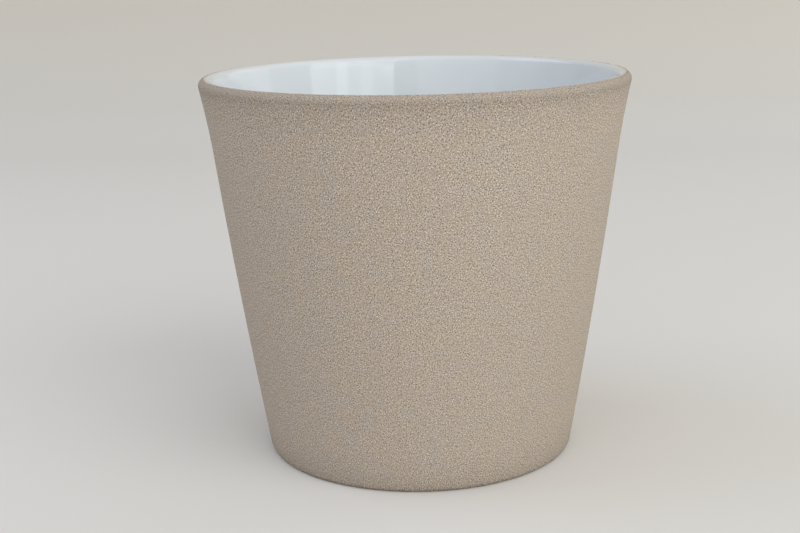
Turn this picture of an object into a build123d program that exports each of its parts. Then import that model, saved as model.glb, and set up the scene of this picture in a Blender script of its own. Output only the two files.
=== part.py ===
import math
import os

from build123d import *

# Ceramic cachepot: a tapered earthenware pot with a rounded lip and a closed floor, sprayed
# outside with a sandy matt coat and glazed glossy white inside. It stands on z = 0 on a bare
# foot ring, its axis is Z, lengths are in mm and angles in degrees

# Over all, measured over the coat and the glaze
top_diameter = 190.0
height = 170.0

# Lean of the outside from upright: at the foot, at the neck where it is steepest, and at the lip
foot_lean = 9.4
neck_lean = 7.3
lip_lean = 12.2
neck_below_rim = 35.0

# Earthenware body
lip_thickness = 5.2
inner_lean = 9.0
floor_thickness = 7.0
floor_corner_radius = 9.0
base_edge_radius = 3.0
foot_ring_width = 9.0
foot_recess_depth = 2.5
foot_recess_flank = 2.0
foot_recess_radius = 0.8

# Coat on the outside, which ends on the base edge this far below level, clear of the table
coat_thickness = 0.4
coat_end_below_level = 55.0

# Glaze on the inside, which runs over the lip and meets the coat this far outside its crest
glaze_thickness = 0.3
glaze_end_past_crest = 20.0


def from_point(point, angle, distance):
    """Place reached from a point of the section, at an angle above level."""
    turn = math.radians(angle)
    return (point[0] + distance * math.cos(turn), point[1] + distance * math.sin(turn))


def radius_lower_down(point, lower_height, lean):
    """Radius at a lower height on the line that leaves a point at this lean."""
    return point[0] - (point[1] - lower_height) * math.tan(math.radians(lean))


# Outside of the body, from the lip down: two arcs that share a tangent at the neck
lip_radius = lip_thickness / 2
lip_center = (
    top_diameter / 2 - coat_thickness - lip_radius,
    height - glaze_thickness - lip_radius,
)
flare_top = from_point(lip_center, -lip_lean, lip_radius)
neck_height = height - neck_below_rim
neck = (radius_lower_down(flare_top, neck_height, (lip_lean + neck_lean) / 2), neck_height)
belly_end_height = base_edge_radius * (1 - math.sin(math.radians(foot_lean)))
belly_end = (
    radius_lower_down(neck, belly_end_height, (neck_lean + foot_lean) / 2),
    belly_end_height,
)
base_edge_center = from_point(belly_end, 180 - foot_lean, base_edge_radius)

# Inside of the body: a straight wall between the lip and the corner of the floor
floor_top = foot_recess_depth + floor_thickness
inner_top = from_point(lip_center, 180 - inner_lean, lip_radius)
corner_start_height = floor_top + floor_corner_radius * (1 - math.sin(math.radians(inner_lean)))
corner_start = (
    radius_lower_down(inner_top, corner_start_height, inner_lean),
    corner_start_height,
)
corner_center = from_point(corner_start, 180 - inner_lean, floor_corner_radius)

# Underside: the ring that the pot stands on, and the shallow recess inside it
foot_outer_radius = base_edge_center[0]
foot_inner_radius = foot_outer_radius - foot_ring_width


def outside_line(skin):
    """Coated stretch of the section, this far off the body, from the glaze end to the coat end."""
    lip = CenterArc(
        center=lip_center,
        radius=lip_radius + skin,
        start_angle=90 - glaze_end_past_crest,
        arc_size=glaze_end_past_crest - 90 - lip_lean,
    )
    flare = TangentArc(lip @ 1, from_point(neck, -neck_lean, skin), tangent=lip % 1)
    belly = TangentArc(flare @ 1, from_point(belly_end, -foot_lean, skin), tangent=flare % 1)
    edge = CenterArc(
        center=base_edge_center,
        radius=base_edge_radius + skin,
        start_angle=-foot_lean,
        arc_size=foot_lean - coat_end_below_level,
    )
    return lip @ 0, edge @ 1


def inside_line(skin):
    """Glazed stretch of the section, this far off the body, from the glaze end to the axis."""
    lip = CenterArc(
        center=lip_center,
        radius=lip_radius + skin,
        start_angle=90 - glaze_end_past_crest,
        arc_size=90 + glaze_end_past_crest - inner_lean,
    )
    corner = CenterArc(
        center=corner_center,
        radius=floor_corner_radius - skin,
        start_angle=-inner_lean,
        arc_size=inner_lean - 90,
    )
    Line(lip @ 1, corner @ 0)
    floor = Line(corner @ 1, (0, floor_top + skin))
    return lip @ 0, floor @ 1


# Earthenware body, cast in one piece, bare on the foot ring and in the recess under the floor
with BuildPart() as earthenware_body:
    with BuildSketch(Plane.XZ) as body_section:
        with BuildLine() as body_outline:
            outside_line(0)
            bare_edge = CenterArc(
                center=base_edge_center,
                radius=base_edge_radius,
                start_angle=-coat_end_below_level,
                arc_size=coat_end_below_level - 90,
            )
            FilletPolyline(
                bare_edge @ 1,
                (foot_inner_radius, 0),
                (foot_inner_radius - foot_recess_flank, foot_recess_depth),
                (0, foot_recess_depth),
                radius=foot_recess_radius,
            )
            inside_line(0)
            Line((0, foot_recess_depth), (0, floor_top))
        make_face()
    revolve(axis=Axis.Z)
earthenware_body.part.label = "earthenware_body"

# Glossy white glaze, one layer over the floor, up the inside and over the crest of the lip
with BuildPart() as white_glaze:
    with BuildSketch(Plane.XZ) as glaze_section:
        with BuildLine() as glaze_outline:
            laid_start, laid_end = inside_line(0)
            gloss_start, gloss_end = inside_line(glaze_thickness)
            Line(laid_start, gloss_start)
            Line(laid_end, gloss_end)
        make_face()
    revolve(axis=Axis.Z)
white_glaze.part.label = "white_glaze"

# Sandy matt coat, one layer from the edge of the glaze on the lip down to the base edge
with BuildPart() as sand_coat:
    with BuildSketch(Plane.XZ) as coat_section:
        with BuildLine() as coat_outline:
            sprayed_start, sprayed_end = outside_line(0)
            sandy_start, sandy_end = outside_line(coat_thickness)
            Line(sprayed_start, sandy_start)
            Line(sprayed_end, sandy_end)
        make_face()
    revolve(axis=Axis.Z)
sand_coat.part.label = "sand_coat"

print(f"base diameter {2 * belly_end[0]:.1f}, foot ring to {2 * foot_outer_radius:.1f}")
print(f"inside: mouth {2 * inner_top[0]:.1f}, floor {2 * corner_center[0]:.1f} at {floor_top:.1f}")

os.makedirs("parts", exist_ok=True)
export_step(earthenware_body.part, "parts/earthenware_body.step")
export_step(white_glaze.part, "parts/white_glaze.step")
export_step(sand_coat.part, "parts/sand_coat.step")
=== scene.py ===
import math

import bpy
from mathutils import Matrix, Vector


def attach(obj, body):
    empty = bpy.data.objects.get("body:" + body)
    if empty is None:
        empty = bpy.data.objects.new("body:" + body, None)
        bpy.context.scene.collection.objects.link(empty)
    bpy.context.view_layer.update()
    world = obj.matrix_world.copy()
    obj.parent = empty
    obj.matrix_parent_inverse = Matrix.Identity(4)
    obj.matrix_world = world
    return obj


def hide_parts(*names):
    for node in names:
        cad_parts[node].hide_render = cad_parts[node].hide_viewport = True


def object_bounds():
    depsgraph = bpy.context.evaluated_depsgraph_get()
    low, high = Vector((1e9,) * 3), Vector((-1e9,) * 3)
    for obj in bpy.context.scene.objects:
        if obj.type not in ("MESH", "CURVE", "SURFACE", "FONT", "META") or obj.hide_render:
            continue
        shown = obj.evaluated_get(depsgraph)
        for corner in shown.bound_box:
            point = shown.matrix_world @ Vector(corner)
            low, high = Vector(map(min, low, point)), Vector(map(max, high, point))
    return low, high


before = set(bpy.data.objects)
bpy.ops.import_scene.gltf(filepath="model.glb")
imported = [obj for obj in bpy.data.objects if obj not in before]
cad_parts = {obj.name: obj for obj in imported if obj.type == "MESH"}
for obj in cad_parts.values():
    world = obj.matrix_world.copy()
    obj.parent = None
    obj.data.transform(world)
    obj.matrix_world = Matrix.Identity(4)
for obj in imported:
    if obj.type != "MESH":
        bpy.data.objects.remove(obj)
cad_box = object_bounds()

# Earthenware body. The pot itself, cast in buff clay and fired once: tapered wall, closed floor and a
# foot ring wiped clean before the firing. Glaze and coat cover it, so only its underside is bare, with
# fine rings from the turning tool in the recess.
MM = 0.001
POT_HEIGHT = cad_box[1].z
TOP_RADIUS = cad_box[1].x
COAT_SKIN = 0.4 * MM
GLAZE_SKIN = 0.3 * MM
LIP_RADIUS = 2.6 * MM
NECK_BELOW_RIM = 35.0 * MM
BASE_EDGE_RADIUS = 3.0 * MM
FOOT_RING_WIDTH = 9.0 * MM
RECESS_DEPTH = 2.5 * MM
RECESS_FLANK = 2.0 * MM
RECESS_EASE = 0.8 * MM
FLOOR_TOP = 9.5 * MM
FLOOR_CORNER_RADIUS = 9.0 * MM
TURNING_PITCH = 2.2 * MM
TURNING_DEPTH = 0.05 * MM

# Leans of the wall from upright, and angles at which the coat starts on the lip and ends on the base edge
FOOT_LEAN = math.radians(9.4)
NECK_LEAN = math.radians(7.3)
LIP_LEAN = math.radians(12.2)
INNER_LEAN = math.radians(9.0)
COAT_TOP = math.radians(70)
COAT_END = math.radians(-55)

# Steps between the points of a section: on hidden walls and bends, and along the bare underside
HIDDEN_STEP = 14 * MM
HIDDEN_BEND_STEP = 1 * MM
EDGE_STEP = 0.25 * MM
FOOT_STEP = 0.7 * MM
EASE_STEP = 0.2 * MM
FLANK_STEP = 0.4 * MM
RECESS_STEP = 0.5 * MM

LIP_CENTER = Vector((TOP_RADIUS - COAT_SKIN - LIP_RADIUS, POT_HEIGHT - GLAZE_SKIN - LIP_RADIUS))


def leaning(point, drop, lean):
    """The place in the section that lies this far below a point, on a line at this lean."""
    return Vector((point.x - drop * math.tan(lean), point.y - drop))


def facing(angle):
    """The direction in the section at this angle above level, outwards."""
    return Vector((math.cos(angle), math.sin(angle)))


FLARE_TOP = LIP_CENTER + LIP_RADIUS * facing(-LIP_LEAN)
NECK = leaning(FLARE_TOP, FLARE_TOP.y - POT_HEIGHT + NECK_BELOW_RIM, (LIP_LEAN + NECK_LEAN) / 2)
BELLY_DROP = NECK.y - BASE_EDGE_RADIUS * (1 - math.sin(FOOT_LEAN))
BELLY_END = leaning(NECK, BELLY_DROP, (NECK_LEAN + FOOT_LEAN) / 2)
BASE_EDGE_CENTER = BELLY_END - BASE_EDGE_RADIUS * facing(-FOOT_LEAN)
INNER_TOP = LIP_CENTER + LIP_RADIUS * facing(math.pi - INNER_LEAN)
CORNER_START_HEIGHT = FLOOR_TOP + FLOOR_CORNER_RADIUS * (1 - math.sin(INNER_LEAN))
CORNER_START = leaning(INNER_TOP, INNER_TOP.y - CORNER_START_HEIGHT, INNER_LEAN)
CORNER_CENTER = CORNER_START - FLOOR_CORNER_RADIUS * facing(-INNER_LEAN)


def steps_for(length, step):
    """How many steps of at most this size a length takes, at least two."""
    return max(2, math.ceil(abs(length) / step))


def between(ends, share):
    """The value that lies this share of the way from one end to the other."""
    return ends[0] + (ends[1] - ends[0]) * share


def round_stretch(center, radii, angles, step):
    """Points of the section on an arc, from one angle and radius to another."""
    count = steps_for(max(radii) * (angles[1] - angles[0]), step)
    shares = [i / count for i in range(count + 1)]
    return [center + between(radii, s) * facing(between(angles, s)) for s in shares]


def bowed_stretch(start, start_lean, end, end_lean, step):
    """Points of the section on the flat arc that leaves one place at one lean and ends at another."""
    chord = (end - start).length
    radius = chord / (2 * math.sin((end_lean - start_lean) / 2))
    count = steps_for(chord, step)
    leans = [between((start_lean, end_lean), i / count) for i in range(count + 1)]
    return [
        start + radius * Vector((math.cos(a) - math.cos(start_lean), math.sin(start_lean) - math.sin(a)))
        for a in leans
    ]


def straight_stretch(start, end, step):
    """Points of the section on a straight line."""
    count = steps_for((end - start).length, step)
    return [start.lerp(end, i / count) for i in range(count + 1)]


def eased_corner(before, corner, after, radius, step):
    """Points of the section on the small arc that rounds a corner between two straight lines."""
    ahead, onward = (corner - before).normalized(), (after - corner).normalized()
    turn = math.copysign(ahead.angle(onward), ahead.cross(onward))
    start = corner - radius * math.tan(abs(turn) / 2) * ahead
    center = start + math.copysign(radius, turn) * Vector((-ahead.y, ahead.x))
    first = math.atan2(*reversed(start - center))
    return round_stretch(center, (radius, radius), (first, first + turn), step)


def joined(*stretches):
    """One line of the section from stretches that meet end to start."""
    return stretches[0] + [p for stretch in stretches[1:] for p in stretch[1:]]


def outside_line(skins, step, bend_step):
    """The outside of the pot, going down, off the clay by its skins on lip, wall and foot."""
    lip_skin, skin, foot_skin = skins
    leans = (LIP_LEAN, NECK_LEAN, FOOT_LEAN)
    flare, neck, belly = (p + skin * facing(-a) for p, a in zip((FLARE_TOP, NECK, BELLY_END), leans))
    lip_radii = (LIP_RADIUS + lip_skin, LIP_RADIUS + skin)
    foot_radii = (BASE_EDGE_RADIUS + skin, BASE_EDGE_RADIUS + foot_skin)
    return joined(
        round_stretch(LIP_CENTER, lip_radii, (COAT_TOP, -LIP_LEAN), bend_step),
        bowed_stretch(flare, LIP_LEAN, neck, NECK_LEAN, step),
        bowed_stretch(neck, NECK_LEAN, belly, FOOT_LEAN, step),
        round_stretch(BASE_EDGE_CENTER, foot_radii, (-FOOT_LEAN, COAT_END), bend_step),
    )


def inside_line(skin, step, bend_step):
    """The inside of the pot, off the clay by a skin, from the edge of the coat to the floor's middle."""
    lip_radii = (LIP_RADIUS + skin,) * 2
    corner_radii = (FLOOR_CORNER_RADIUS - skin,) * 2
    lip = round_stretch(LIP_CENTER, lip_radii, (COAT_TOP, math.pi - INNER_LEAN), bend_step)
    corner = round_stretch(CORNER_CENTER, corner_radii, (-INNER_LEAN, -math.pi / 2), bend_step)
    wall = straight_stretch(lip[-1], corner[0], step)
    floor = straight_stretch(corner[-1], Vector((0, FLOOR_TOP + skin)), step)
    return joined(lip, wall, corner, floor)


class Wire:
    """A socket in a node tree. Sums and products of wires add Math nodes, and node() adds any other."""

    def __init__(self, tree, socket=None):
        self.tree = tree
        self.socket = socket

    def node(self, kind, settings=(), values=(), out=0):
        """The chosen output of a new node, whose settings are set before the values of its sockets."""
        added = self.tree.nodes.new(kind)
        for name, setting in dict(settings).items():
            if name == "stops":
                self.set_stops(added.color_ramp.elements, setting)
            else:
                setattr(added, name, setting)
        for name, value in dict(values).items():
            self.feed(added, name, value)
        outputs = [s for s in added.outputs if s.enabled]
        chosen = outputs[out] if isinstance(out, int) else next(s for s in outputs if s.name == out)
        return Wire(self.tree, chosen)

    def other(self, name):
        """Another output of the same node."""
        return Wire(self.tree, self.socket.node.outputs[name])

    def set_stops(self, elements, stops):
        """Gives a colour ramp its stops, each a place and a colour."""
        while len(elements) < len(stops):
            elements.new(1.0)
        for element, (place, colour) in zip(elements, stops):
            element.position = place
            element.color = (*colour, 1.0)

    def feed(self, added, name, value):
        """Sets a socket of a node to a value, or links a wire to it."""
        socket = next(s for s in added.inputs if s.enabled and name in (s.identifier, s.name))
        if isinstance(value, Wire):
            self.tree.links.new(value.socket, socket)
        else:
            socket.default_value = value

    def maths(self, operation, *values):
        """A Math node on one or two wires or numbers."""
        sockets = dict(zip(("Value", "Value_001"), values))
        return self.node("ShaderNodeMath", {"operation": operation}, sockets)

    def vectors(self, operation, sockets):
        """A Vector Math node with these values or wires on its sockets."""
        return self.node("ShaderNodeVectorMath", {"operation": operation}, sockets)

    def __add__(self, other):
        return self.maths("ADD", self, other)

    def __sub__(self, other):
        return self.maths("SUBTRACT", self, other)

    def __rsub__(self, other):
        return self.maths("SUBTRACT", other, self)

    def __mul__(self, other):
        return self.maths("MULTIPLY", self, other)

    def __truediv__(self, other):
        return self.maths("DIVIDE", self, other)

    def __rtruediv__(self, other):
        return self.maths("DIVIDE", other, self)

    __radd__ = __add__
    __rmul__ = __mul__


def noise(maker, here, per_metre, detail):
    """Soft random spots, about this many to the metre."""
    spots = {"Vector": here, "Scale": per_metre, "Detail": detail}
    return maker.node("ShaderNodeTexNoise", {}, spots, "Fac")


MERGED_WITHIN = 0.001 * MM


def turning_tree():
    """Turns a section line into a closed layer of the pot, with waves and grain in its shown side."""
    tree = bpy.data.node_groups.new("turned_layer", "GeometryNodeTree")
    for name, kind in {
        "Section": "NodeSocketGeometry",
        "Steps round": "NodeSocketInt",
        "Wave depth": "NodeSocketFloat",
        "Waves per metre": "NodeSocketFloat",
        "Grain depth": "NodeSocketFloat",
        "Grain drift": "NodeSocketFloat",
        "Seed": "NodeSocketInt",
        "Finish": "NodeSocketMaterial",
    }.items():
        tree.interface.new_socket(name=name, in_out="INPUT", socket_type=kind)
    tree.interface.new_socket(name="Layer", in_out="OUTPUT", socket_type="NodeSocketGeometry")
    given = {s.name: Wire(tree, s) for s in tree.nodes.new("NodeGroupInput").outputs}
    maker = Wire(tree)
    n = maker.node
    section, steps = given["Section"], given["Steps round"]

    # A grid whose rows follow the section and whose columns go round the axis
    rows = n("GeometryNodeAttributeDomainSize", {"component": "MESH"}, {"Geometry": section}, "Point Count")
    grid = n("GeometryNodeMeshGrid", {}, {"Vertices X": steps + 1, "Vertices Y": rows}, "Mesh")
    index = n("GeometryNodeInputIndex")
    column = maker.maths("FLOOR", index / rows)
    row = index - column * rows
    place = n("GeometryNodeInputPosition")
    shown = n("GeometryNodeInputNamedAttribute", {"data_type": "FLOAT"}, {"Name": "shown"}, "Attribute")

    def on_section(value, data_type):
        """What the section has in this row of the grid."""
        sockets = {"Geometry": section, "Value": value, "Index": row}
        return n("GeometryNodeSampleIndex", {"data_type": data_type}, sockets)

    radius = n("ShaderNodeSeparateXYZ", {}, {"Vector": on_section(place, "FLOAT_VECTOR")}, "X")
    turn = column / steps * (2 * math.pi)
    across = radius * maker.maths("COSINE", turn)
    along = radius * maker.maths("SINE", turn)
    spun = n("ShaderNodeCombineXYZ", {}, {"X": across, "Y": along, "Z": radius.other("Z")})
    shape = n("GeometryNodeSetPosition", {}, {"Geometry": grid, "Position": spun})
    shape = n(
        "GeometryNodeStoreNamedAttribute",
        {"data_type": "FLOAT", "domain": "POINT"},
        {"Geometry": shape, "Name": "shown", "Value": on_section(shown, "FLOAT")},
    )
    shape = n("GeometryNodeMergeByDistance", {}, {"Geometry": shape, "Distance": MERGED_WITHIN})

    # Waves and grain press the shown side in, and grains drift a little along it
    wave = noise(maker, place, given["Waves per metre"], detail=1.0)
    lot = n("FunctionNodeRandomValue", {"data_type": "FLOAT"}, {"Seed": given["Seed"]}, "Value")
    depth = (given["Wave depth"] * wave + given["Grain depth"] * lot) * shown
    normal = n("GeometryNodeInputNormal")
    pressed = maker.vectors("SCALE", {"Vector": normal, "Scale": 0.0 - depth})
    shift = n(
        "FunctionNodeRandomValue",
        {"data_type": "FLOAT_VECTOR"},
        {"Min": (-1, -1, -1), "Max": (1, 1, 1), "Seed": given["Seed"] + 1},
        "Value",
    )
    outward = maker.vectors("PROJECT", {"Vector": shift, "Vector_001": normal})
    sideways = maker.vectors("SUBTRACT", {"Vector": shift, "Vector_001": outward})
    drifted = maker.vectors("SCALE", {"Vector": sideways, "Scale": given["Grain drift"] * shown})
    moved = maker.vectors("ADD", {"Vector": pressed, "Vector_001": drifted})
    shape = n("GeometryNodeSetPosition", {}, {"Geometry": shape, "Offset": moved})
    shape = n("GeometryNodeSetShadeSmooth", {}, {"Geometry": shape, "Shade Smooth": True})
    shape = n("GeometryNodeRealizeInstances", {}, {"Geometry": shape})
    shape = n("GeometryNodeSetMaterial", {}, {"Geometry": shape, "Material": given["Finish"]})
    tree.links.new(shape.socket, tree.nodes.new("NodeGroupOutput").inputs["Layer"])
    return tree


TURNING = turning_tree()


def turned(name, shown, hidden, inputs):
    """A piece turned from a closed section, which goes round to the left and starts with its shown side."""
    places = shown + hidden + shown[:1]
    line = bpy.data.meshes.new(name + "_section")
    line.from_pydata([(p.x, 0, p.y) for p in places], [(i, i + 1) for i in range(len(places) - 1)], [])
    weights = line.attributes.new("shown", "FLOAT", "POINT")
    weights.data.foreach_set("value", [1] * len(shown) + [0] * len(hidden) + [1])
    turning = bpy.data.objects.new(name + "_turning", line)
    bpy.context.scene.collection.objects.link(turning)
    modifier = turning.modifiers.new("turned", "NODES")
    modifier.node_group = TURNING
    keys = {s.name: s.identifier for s in TURNING.interface.items_tree if s.in_out == "INPUT"}
    for label, value in inputs.items():
        modifier[keys[label]] = value
    solved = turning.evaluated_get(bpy.context.evaluated_depsgraph_get())
    piece = bpy.data.objects.new(name, bpy.data.meshes.new_from_object(solved))
    piece.data.name = name
    bpy.data.objects.remove(turning)
    bpy.context.scene.collection.objects.link(piece)
    return piece


def fitted(piece, node):
    """Puts a finished piece in the place of its solid."""
    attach(piece, "root")
    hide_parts(node)


def new_material(name):
    """A material with its main shader, the socket wrapper to build on and the piece's own coordinates."""
    material = bpy.data.materials.new(name)
    material.use_nodes = True
    tree = material.node_tree
    shader = tree.nodes["Principled BSDF"]
    maker = Wire(tree)
    here = maker.node("ShaderNodeTexCoord", {}, {}, "Object")
    return material, shader, maker, here


def ramp(maker, share, stops):
    """A colour that goes through these stops as the share goes from 0 to 1."""
    return maker.node("ShaderNodeValToRGB", {"stops": stops}, {"Fac": share}, "Color")


def bumped(maker, shader, rise, strength, distance):
    """Raises the shaded surface by a rise from 0 to 1 times this distance."""
    sockets = {"Strength": strength, "Distance": distance, "Height": rise}
    maker.feed(shader, "Normal", maker.node("ShaderNodeBump", {}, sockets, "Normal"))


CLAY_TONES = [(0.3, (0.36, 0.27, 0.19)), (0.7, (0.50, 0.39, 0.29))]
CLAY_CLOUDS_PER_METRE, CLAY_SPECKS_PER_METRE, SPECK_SHARE = 45.0, 1400.0, 0.4
CLAY_ROUGHNESS, SPECK_ROUGHNESS = 0.82, 0.14
CLAY_BUMP, CLAY_BUMP_DEPTH = 0.5, 0.1 * MM


def bare_clay():
    """Fired buff clay, cloudy and finely specked."""
    material, shader, maker, here = new_material("bare_buff_clay")
    cloud = noise(maker, here, CLAY_CLOUDS_PER_METRE, detail=4.0)
    speck = noise(maker, here, CLAY_SPECKS_PER_METRE, detail=2.0)
    tone = ramp(maker, cloud * (1 - SPECK_SHARE) + speck * SPECK_SHARE, CLAY_TONES)
    maker.feed(shader, "Base Color", tone)
    maker.feed(shader, "Roughness", CLAY_ROUGHNESS + speck * SPECK_ROUGHNESS)
    bumped(maker, shader, speck, CLAY_BUMP, CLAY_BUMP_DEPTH)
    return material


def turning_rings(point):
    """The point of the recess, raised or lowered by the rings that the turning tool left."""
    return point + Vector((0, TURNING_DEPTH * math.sin(2 * math.pi * point.x / TURNING_PITCH)))


foot_outer = Vector((BASE_EDGE_CENTER.x, 0))
foot_inner = foot_outer - Vector((FOOT_RING_WIDTH, 0))
recess_rim = foot_inner + Vector((-RECESS_FLANK, RECESS_DEPTH))
recess_middle = Vector((0, RECESS_DEPTH))
edge_radii = (BASE_EDGE_RADIUS, BASE_EDGE_RADIUS)
bare_edge = round_stretch(BASE_EDGE_CENTER, edge_radii, (COAT_END, -math.pi / 2), EDGE_STEP)
lower_ease = eased_corner(foot_outer, foot_inner, recess_rim, RECESS_EASE, EASE_STEP)
upper_ease = eased_corner(foot_inner, recess_rim, recess_middle, RECESS_EASE, EASE_STEP)
recess = straight_stretch(upper_ease[-1], recess_middle, RECESS_STEP)
underside = joined(
    bare_edge,
    straight_stretch(foot_outer, lower_ease[0], FOOT_STEP),
    lower_ease,
    straight_stretch(lower_ease[-1], upper_ease[0], FLANK_STEP),
    upper_ease,
    [turning_rings(p) for p in recess],
)

# The clay under the coat and the glaze runs up the outside, over the lip and down to the floor
clay_outside = outside_line((0, 0, 0), HIDDEN_STEP, HIDDEN_BEND_STEP)
clay_inside = inside_line(0, HIDDEN_STEP, HIDDEN_BEND_STEP)
covered_clay = clay_outside[-2::-1] + clay_inside[1:]
earthenware_body = turned("earthenware_body_turned", underside[::-1], covered_clay, {
    "Steps round": 256,
    "Wave depth": 0.05 * MM,
    "Waves per metre": 60.0,
    "Finish": bare_clay(),
})
fitted(earthenware_body, "earthenware_body")

# White glaze. A glassy layer poured into the fired pot and drained, then fired again: it lines the floor,
# runs up the wall and over the crest of the lip, where it is thin and cream, and it carries stray grains
# of the sand coat at its edge.
GLAZE_WHITES = [(0.3, (0.640, 0.670, 0.681)), (0.7, (0.676, 0.704, 0.715))]
CREAM = (0.61, 0.59, 0.56, 1)
THIN_GLAZE = math.radians(80)
GLAZE_CLOUDS_PER_METRE = 30.0
GLOSS_ROUGHNESS, CLOUD_ROUGHNESS, STRAY_GRAIN_ROUGHNESS = 0.05, 0.04, 0.83
PEEL_PER_METRE, PEEL_BUMP, PEEL_DEPTH = 220.0, 0.15, 0.1 * MM
GLOSS_STEP = 2 * MM
GLOSS_BEND_STEP = 0.5 * MM

# Sprayed sand: grains of uneven tone, tinted in patches, with painted shade in the gaps and painted light
# on the crests
GRAIN_TONES = [
    (0.0, (0.111, 0.083, 0.056)),
    (0.25, (0.247, 0.203, 0.156)),
    (0.5, (0.419, 0.356, 0.289)),
    (0.75, (0.600, 0.522, 0.440)),
    (1.0, (0.782, 0.691, 0.593)),
]
PATCH_TINTS = [(0.3, (1.0, 0.965, 0.925)), (0.7, (0.96, 0.965, 0.985))]
GRAINS_PER_METRE, GAPS_PER_METRE, PATCHES_PER_METRE = 2400.0, 2200.0, 130.0
GRAIN_SHADE, GAP_SHADE, GAP_EXTREMES = 0.15, 0.31, 28.0
GAP_TURN = 0.5
MIDDLE_RADIUS = (TOP_RADIUS + BELLY_END.x) / 2

# Heights in mm and the share of its tone that the paint keeps: painted shade, less at the foot and in a
# band under the lip
PAINTED_SHADE_BY_HEIGHT = (
    (2, 0.82), (5, 0.90), (10, 0.96), (18, 1.0),
    (152, 1.0), (159, 0.96), (163, 0.92), (165.3, 0.85), (166.6, 0.79), (168.7, 0.92), (170, 1.0),
)

# Where the spray ends, as an angle past the crest of the lip, and over how wide a band it thins out
SPRAY_EDGE = math.radians(-3)
SPRAY_FADE = math.radians(30)


def mixed(maker, share, first, second, blend_type="MIX"):
    """Two colours mixed, or blended in another way, with this share of the second."""
    sockets = {"Factor": share, "A": first, "B": second}
    return maker.node("ShaderNodeMix", {"data_type": "RGBA", "blend_type": blend_type}, sockets, "Result")


def off_axis(maker, here):
    """The distance from the axis of the pot, and the height."""
    level = maker.vectors("MULTIPLY", {"Vector": here, "Vector_001": (1, 1, 0)})
    radius = maker.vectors("LENGTH", {"Vector": level})
    return radius, maker.node("ShaderNodeSeparateXYZ", {}, {"Vector": here}, "Z")


def sand(maker, here):
    """The colour of the sprayed sand with painted shade at the foot and under the lip, the rise of its
    grains and a lot drawn for each grain.
    """
    n = maker.node
    radius, height = off_axis(maker, here)
    turn = maker.maths("ARCTAN2", height.other("X"), 0 - height.other("Y"))
    unrolled = n("ShaderNodeCombineXYZ", {}, {"X": turn * MIDDLE_RADIUS, "Y": height - radius})
    far = n(
        "ShaderNodeTexVoronoi",
        {"feature": "F1", "voronoi_dimensions": "2D"},
        {"Vector": unrolled, "Scale": GRAINS_PER_METRE},
        "Distance",
    )
    lot = n("ShaderNodeSeparateColor", {}, {"Color": far.other("Color")}, "Red")
    # Painted shade in the gaps between grains and painted light on their crests
    askew = n("ShaderNodeMapping", {}, {"Vector": unrolled, "Rotation": (0, 0, GAP_TURN)})
    gap = n(
        "ShaderNodeTexNoise",
        {"noise_dimensions": "2D"},
        {"Vector": askew, "Scale": GAPS_PER_METRE, "Detail": 0.0},
        "Fac",
    )
    dip = gap - 0.5
    shade = 0.5 + (lot - 0.5) * GRAIN_SHADE + dip * GAP_SHADE * (1 + dip * dip * GAP_EXTREMES)
    grain = ramp(maker, shade, GRAIN_TONES)
    patch = noise(maker, here, PATCHES_PER_METRE, detail=2.0)
    tint = ramp(maker, patch, PATCH_TINTS)
    # Painted shade: the tone darkens towards the foot and in a band under the lip
    stops = [(z * MM / POT_HEIGHT, (level,) * 3) for z, level in PAINTED_SHADE_BY_HEIGHT]
    painted_shade = ramp(maker, height / POT_HEIGHT, stops)
    tone = mixed(maker, 1.0, mixed(maker, 1.0, grain, tint, "MULTIPLY"), painted_shade, "MULTIPLY")
    return tone, 1 - far * far, lot.other("Green")


def past_crest(maker, here, furthest_in):
    """The angle round the lip from its crest, positive inside, and no further in than a limit."""
    radius, height = off_axis(maker, here)
    inward = maker.maths("MINIMUM", LIP_CENTER.x - radius, furthest_in)
    return maker.maths("ARCTAN2", inward, height - LIP_CENTER.y)


def sprayed_over(maker, lot, angle):
    """1 where the spray covers the lip and 0 where it doesn't, thinning out grain by grain."""
    return maker.maths("LESS_THAN", angle, SPRAY_EDGE + (lot - 0.5) * SPRAY_FADE)


def white_gloss():
    """Glossy white glaze with a faint peel, cream on the crest and sprayed over at its outer edge."""
    material, shader, maker, here = new_material("white_gloss_glaze")
    cloud = noise(maker, here, GLAZE_CLOUDS_PER_METRE, detail=3.0)
    white = ramp(maker, cloud, GLAZE_WHITES)
    angle = past_crest(maker, here, TOP_RADIUS)
    thin = maker.node(
        "ShaderNodeMapRange",
        {"interpolation_type": "SMOOTHSTEP"},
        {"Value": maker.maths("ABSOLUTE", angle), "From Min": THIN_GLAZE, "From Max": 0.0},
    )
    glaze = mixed(maker, thin, white, CREAM)
    tone, _, lot = sand(maker, here)
    covered = sprayed_over(maker, lot, angle)
    maker.feed(shader, "Base Color", mixed(maker, covered, glaze, tone))
    roughness = GLOSS_ROUGHNESS + cloud * CLOUD_ROUGHNESS + covered * STRAY_GRAIN_ROUGHNESS
    maker.feed(shader, "Roughness", roughness)
    peel = noise(maker, here, PEEL_PER_METRE, detail=1.0)
    bumped(maker, shader, peel, PEEL_BUMP, PEEL_DEPTH)
    return material


gloss = inside_line(GLAZE_SKIN, GLOSS_STEP, GLOSS_BEND_STEP)
laid = inside_line(0, HIDDEN_STEP, HIDDEN_BEND_STEP)
white_glaze = turned("white_glaze_lining", gloss, laid[::-1], {
    "Steps round": 384,
    "Wave depth": 0.08 * MM,
    "Waves per metre": 40.0,
    "Finish": white_gloss(),
})
fitted(white_glaze, "white_glaze")
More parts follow.
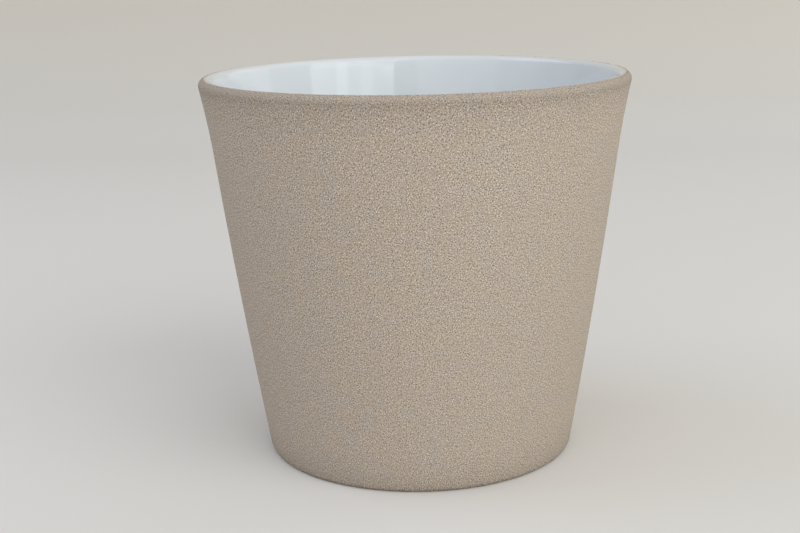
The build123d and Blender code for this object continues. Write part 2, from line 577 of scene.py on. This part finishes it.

# Sand coat. A matt taupe paint full of fine sand, sprayed on the outside of the glazed pot: it thins out
# grain by grain on the lip, is painted darker under the lip and at the foot as painted shade, and ends on
# the base edge, just clear of the table.
COAT_FOOT_SKIN = 0.25 * MM
SAND_STEP = 1.04 * MM
SAND_BEND_STEP = 0.52 * MM
SPRAYED_BEND_STEP = 1.5 * MM
SAND_ROUGHNESS, LOT_ROUGHNESS, SAND_SPECULAR = 0.8, 0.15, 0.25
SAND_BUMP, SAND_BUMP_DEPTH = 0.6, 0.3 * MM

# Keeps the wall outside the crest, also where it leans in below the lip
JUST_OUTSIDE = -0.001 * MM


def taupe_sand():
    """Matt sandy paint, over the cream of the glaze where it thins out on the lip."""
    material, shader, maker, here = new_material("taupe_sand_coat")
    tone, rise, lot = sand(maker, here)
    covered = sprayed_over(maker, lot, past_crest(maker, here, JUST_OUTSIDE))
    maker.feed(shader, "Base Color", mixed(maker, covered, CREAM, tone))
    maker.feed(shader, "Roughness", SAND_ROUGHNESS + lot * LOT_ROUGHNESS)
    maker.feed(shader, "Specular IOR Level", SAND_SPECULAR)
    bumped(maker, shader, rise, SAND_BUMP, SAND_BUMP_DEPTH)
    return material


sandy = outside_line((GLAZE_SKIN, COAT_SKIN, COAT_FOOT_SKIN), SAND_STEP, SAND_BEND_STEP)
sprayed = outside_line((0, 0, 0), HIDDEN_STEP, SPRAYED_BEND_STEP)
sand_coat = turned("sand_coat_sprayed", sandy[::-1], sprayed, {
    "Steps round": 512,
    "Wave depth": 0.04 * MM,
    "Waves per metre": 50.0,
    "Grain depth": 0.025 * MM,
    "Grain drift": 0.3 * MM,
    "Seed": 7,
    "Finish": taupe_sand(),
})
fitted(sand_coat, "sand_coat")

# Studio. A pale sweep of card is floor and backdrop in one, in a bright room. A tall window lights the
# pot from the right: its upper part is close by, its lower part and two brighter panes are further off.
# A pale wall on each side and blue sky from the left fill in the rest.
SWEEP_HALF_WIDTH = 4.0
SWEEP_FRONT, SWEEP_BEND, SWEEP_RADIUS, SWEEP_TOP = -4.0, 0.9, 0.8, 2.5
SWEEP_BEND_STEP = 0.05
OPENING_RADIUS = 67.2 * MM
# Card colour by height in metres, warmer and darker higher up: the darkening is painted shade
CARD_TONES = [
    (0.0, (0.722, 0.696, 0.657)),
    (0.03, (0.680, 0.648, 0.597)),
    (0.14, (0.644, 0.602, 0.532)),
]
CARD_ROUGHNESS, CARD_SPECULAR = 0.9, 0.1
WINDOW_LIGHT = (0.98, 1.0, 0.99)
RIGHT_WALL_LIGHT = (0.93, 0.96, 1.0)
LEFT_WALL_LIGHT = (0.90, 0.89, 1.0)
SKY_LIGHT = (0.68, 0.77, 1.0)
ROOM_LIGHT = (0.955, 0.98, 1.0, 1)
ROOM_STRENGTH = 0.642


def pale_card():
    """Matt card, warmer higher up and darker there as painted shade, clear from below and open under the
    pot, so that the foot shows.
    """
    material, shader, maker, here = new_material("pale_card")
    n = maker.node
    height = n("ShaderNodeSeparateXYZ", {}, {"Vector": here}, "Z")
    maker.feed(shader, "Base Color", ramp(maker, height, CARD_TONES))
    maker.feed(shader, "Roughness", CARD_ROUGHNESS)
    maker.feed(shader, "Specular IOR Level", CARD_SPECULAR)
    from_middle = maker.vectors("LENGTH", {"Vector": here})
    under_pot = maker.maths("LESS_THAN", from_middle, OPENING_RADIUS)
    from_below = n("ShaderNodeNewGeometry", {}, {}, "Backfacing")
    see_through = maker.maths("MAXIMUM", from_below, under_pot)
    card = Wire(maker.tree, shader.outputs["BSDF"])
    clear = n("ShaderNodeBsdfTransparent")
    surface = n("ShaderNodeMixShader", {}, {"Fac": see_through, "Shader": card, "Shader_001": clear})
    maker.feed(maker.tree.nodes["Material Output"], "Surface", surface)
    return material


bend_center = Vector((SWEEP_BEND, SWEEP_RADIUS))
bend = round_stretch(bend_center, (SWEEP_RADIUS, SWEEP_RADIUS), (-math.pi / 2, 0), SWEEP_BEND_STEP)
sweep_line = [Vector((SWEEP_FRONT, 0))] + bend + [Vector((SWEEP_BEND + SWEEP_RADIUS, SWEEP_TOP))]
sides = (-SWEEP_HALF_WIDTH, SWEEP_HALF_WIDTH)
corners = [(x, p.x, p.y) for p in sweep_line for x in sides]
strips = [(2 * i, 2 * i + 1, 2 * i + 3, 2 * i + 2) for i in range(len(sweep_line) - 1)]
card_mesh = bpy.data.meshes.new("sweep")
card_mesh.from_pydata(corners, [], strips)
card_mesh.shade_smooth()
card_mesh.materials.append(pale_card())
sweep = bpy.data.objects.new("sweep", card_mesh)
bpy.context.scene.collection.objects.link(sweep)


def soft_light(name, azimuth, elevation, distance, width, height, power, colour):
    """A flat panel that faces the pot. Azimuth 0 is at the camera, and 90 to its right."""
    lamp = bpy.data.lights.new(name, "AREA")
    lamp.shape = "RECTANGLE"
    lamp.size, lamp.size_y = width, height
    lamp.energy, lamp.color = power, colour
    a, e = math.radians(azimuth), math.radians(elevation)
    away = Vector((math.sin(a) * math.cos(e), -math.cos(a) * math.cos(e), math.sin(e)))
    panel = bpy.data.objects.new(name, lamp)
    panel.location = Vector((0, 0, POT_HEIGHT / 2)) + distance * away
    panel.rotation_euler = away.to_track_quat("Z", "Y").to_euler()
    bpy.context.scene.collection.objects.link(panel)


# Name, azimuth, elevation, distance, width, height, power and colour of each panel
for panel in (
    ("upper_window", 40.5, 36, 1.62, 1.7, 1.13, 10.3, WINDOW_LIGHT),
    ("lower_window", 40.5, 6.5, 5.1, 5.1, 1.71, 48.5, WINDOW_LIGHT),
    ("window_pane", 46.5, 18, 4.8, 0.6, 2.7, 5.8, WINDOW_LIGHT),
    ("second_pane", 30.6, 18, 4.8, 0.66, 2.7, 4.7, WINDOW_LIGHT),
    ("right_wall", 122, 14, 1.6, 1.25, 1.1, 3.3, RIGHT_WALL_LIGHT),
    ("left_wall", -28, 14, 1.6, 1.5, 1.0, 3.05, LEFT_WALL_LIGHT),
    ("left_sky", -95, 42, 1.6, 1.2, 0.9, 5.5, SKY_LIGHT),
):
    soft_light(*panel)

room = bpy.data.worlds.new("bright_room")
room.use_nodes = True
background = room.node_tree.nodes["Background"]
background.inputs["Color"].default_value = ROOM_LIGHT
background.inputs["Strength"].default_value = ROOM_STRENGTH
bpy.context.scene.world = room

# Camera. It stands where the photograph was taken from: a little above the rim, close by, and turned
# about a degree off level.
CAMERA_PLACE = Vector((0, -593.21, 224.40)) * MM
PITCH, YAW, ROLL = (math.radians(a) for a in (13.532, -0.781, -1.187))
FOCAL_PIXELS, PICTURE_WIDTH = 1332.24, 800
SENSOR_WIDTH = 36.0
lens = bpy.data.cameras.new("camera")
lens.sensor_fit = "HORIZONTAL"
lens.sensor_width = SENSOR_WIDTH
lens.lens = FOCAL_PIXELS / PICTURE_WIDTH * SENSOR_WIDTH
ahead = Vector((math.sin(YAW) * math.cos(PITCH), math.cos(YAW) * math.cos(PITCH), -math.sin(PITCH)))
level_right = Vector((math.cos(YAW), -math.sin(YAW), 0))
level_up = level_right.cross(ahead)
right = math.cos(ROLL) * level_right + math.sin(ROLL) * level_up
up = math.cos(ROLL) * level_up - math.sin(ROLL) * level_right
camera = bpy.data.objects.new("camera", lens)
camera.matrix_world = Matrix.Translation(CAMERA_PLACE) @ Matrix((right, up, -ahead)).transposed().to_4x4()
bpy.context.scene.collection.objects.link(camera)
bpy.context.scene.camera = camera
bpy.context.scene.view_settings.view_transform = "Standard"
